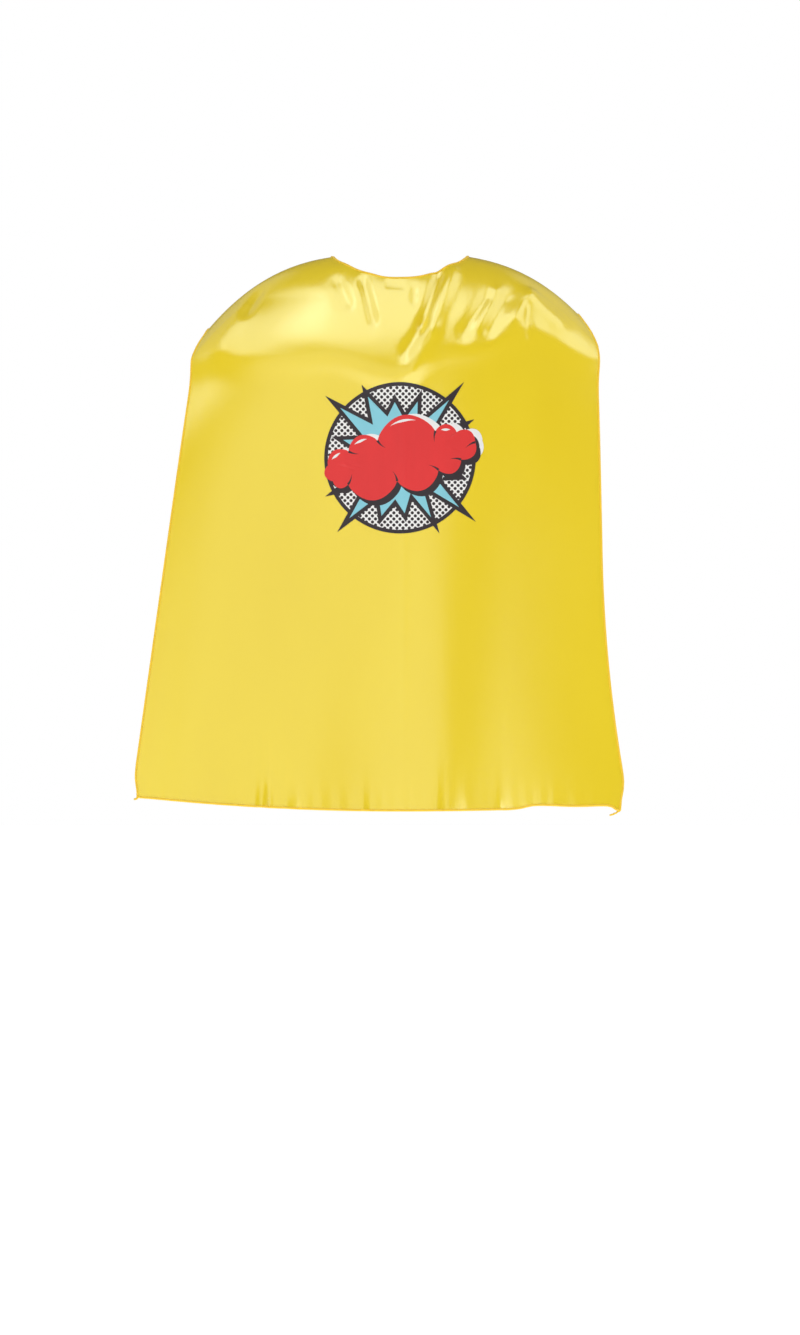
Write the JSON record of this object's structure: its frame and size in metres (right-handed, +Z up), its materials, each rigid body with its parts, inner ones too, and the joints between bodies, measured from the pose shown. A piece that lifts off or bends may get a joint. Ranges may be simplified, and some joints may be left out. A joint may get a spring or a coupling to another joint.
{
  "type": "superhero cape",
  "caption": "Child's satin superhero cape in its worn shape, with a hook-and-loop throat closure, overlocked edges and a round comic-style back print.",
  "frame": {"origin": "middle of the neck opening, level with the neckline", "axes": "+Z up along the wearer's neck, +Y the way the wearer faces, +X the wearer's right"},
  "size_m": [0.5263, 0.2147, 0.5958],
  "materials": {
    "satin": "shiny polyester satin",
    "edge_thread": "overlock thread",
    "emblem_print": "heat-transfer print, satin sheen",
    "label_tape": "woven tape",
    "hook_and_loop": "nylon hook and loop"
  },
  "bodies": {
    "shoulders": {"back_panel": "satin", "emblem_film": "emblem_print", "neckline_rolled_edge": "edge_thread", "right_side_rolled_edge": "edge_thread", "left_side_rolled_edge": "edge_thread", "care_label": "label_tape", "label_stitching": "edge_thread"},
    "skirt": {"skirt_panel": "satin", "right_skirt_rolled_edge": "edge_thread", "left_skirt_rolled_edge": "edge_thread", "hem_rolled_edge": "edge_thread", "right_corner_thread_tail": "edge_thread", "left_corner_thread_tail": "edge_thread"},
    "outer_tab_side": {"outer_tab": "satin", "outer_tab_rolled_edge": "edge_thread", "hook_patch": "hook_and_loop", "hook_patch_stitching": "edge_thread"},
    "inner_tab_side": {"inner_tab": "satin", "inner_tab_rolled_edge": "edge_thread", "loop_patch": "hook_and_loop", "loop_patch_stitching": "edge_thread"}
  },
  "joints": [
    {"name": "skirt_billow", "type": "hinge", "parent": "shoulders", "child": "skirt", "pos_m": [0, -0.128, -0.29], "axis": [-1, 0, 0], "range_deg": [0, 55]},
    {"name": "outer_tab_open", "type": "hinge", "parent": "shoulders", "child": "outer_tab_side", "pos_m": [0.0878, 0.0524, -0.0315], "axis": [0.7086, 0.1496, -0.6896], "range_deg": [0, 110]},
    {"name": "inner_tab_open", "type": "hinge", "parent": "shoulders", "child": "inner_tab_side", "pos_m": [-0.091, 0.053, -0.0347], "axis": [0.7017, -0.1331, 0.6999], "range_deg": [0, 55]}
  ],
  "couplings": [
    {"joint": "inner_tab_open", "follows": "outer_tab_open", "ratio": 0.5}
  ]
}
